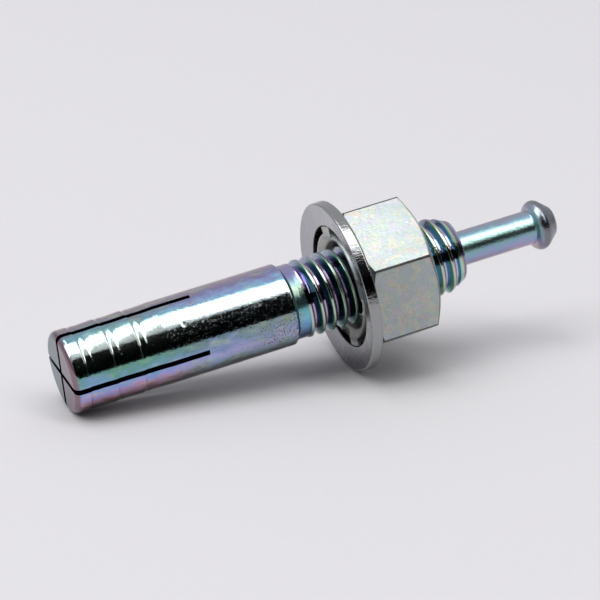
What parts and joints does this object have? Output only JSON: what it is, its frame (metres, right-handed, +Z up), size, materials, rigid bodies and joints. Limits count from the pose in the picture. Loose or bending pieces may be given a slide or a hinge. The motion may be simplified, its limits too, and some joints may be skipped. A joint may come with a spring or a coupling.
{
  "type": "nail anchor",
  "caption": "Zinc-plated nail anchor: a split stud with grip rings and a threaded end, a hex nut with a captive dished washer, and a headed core pin that spreads the split end.",
  "frame": {"origin": "on the floor, under the middle of the anchor's box as it lies at rest", "axes": "+X along the anchor on the floor, from the split end towards the pin's head; +Z up; the anchor's axis lies in the XZ plane and rises 9 degrees towards +X"},
  "size_m": [0.067, 0.022, 0.0219],
  "materials": {
    "zinc_stud": "gloss",
    "zinc_pin": "gloss",
    "zinc_nut": "satin",
    "zinc_washer": "satin"
  },
  "bodies": {
    "stud": {"anchor_body": "zinc_stud"},
    "pin": {"core_pin": "zinc_pin"},
    "washer": {"washer": "zinc_washer"},
    "nut": {"hex_nut": "zinc_nut"}
  },
  "joints": [
    {"name": "pin_drive", "type": "slide", "parent": "stud", "child": "pin", "axis": [-0.9876, 0, -0.1567], "range_m": [0, 0.0107]},
    {"name": "washer_travel", "type": "slide", "parent": "stud", "child": "washer", "axis": [0.9876, 0, 0.1567], "range_m": [-0.006, 0.012]},
    {"name": "nut_turn", "type": "hinge", "parent": "washer", "child": "nut", "pos_m": [0.00966, 0, 0.01184], "axis": [0.9876, 0, 0.1567], "range_deg": [-1440, 2880]}
  ],
  "couplings": [
    {"joint": "washer_travel", "follows": "nut_turn", "m_per_rad": 0.00023873}
  ]
}
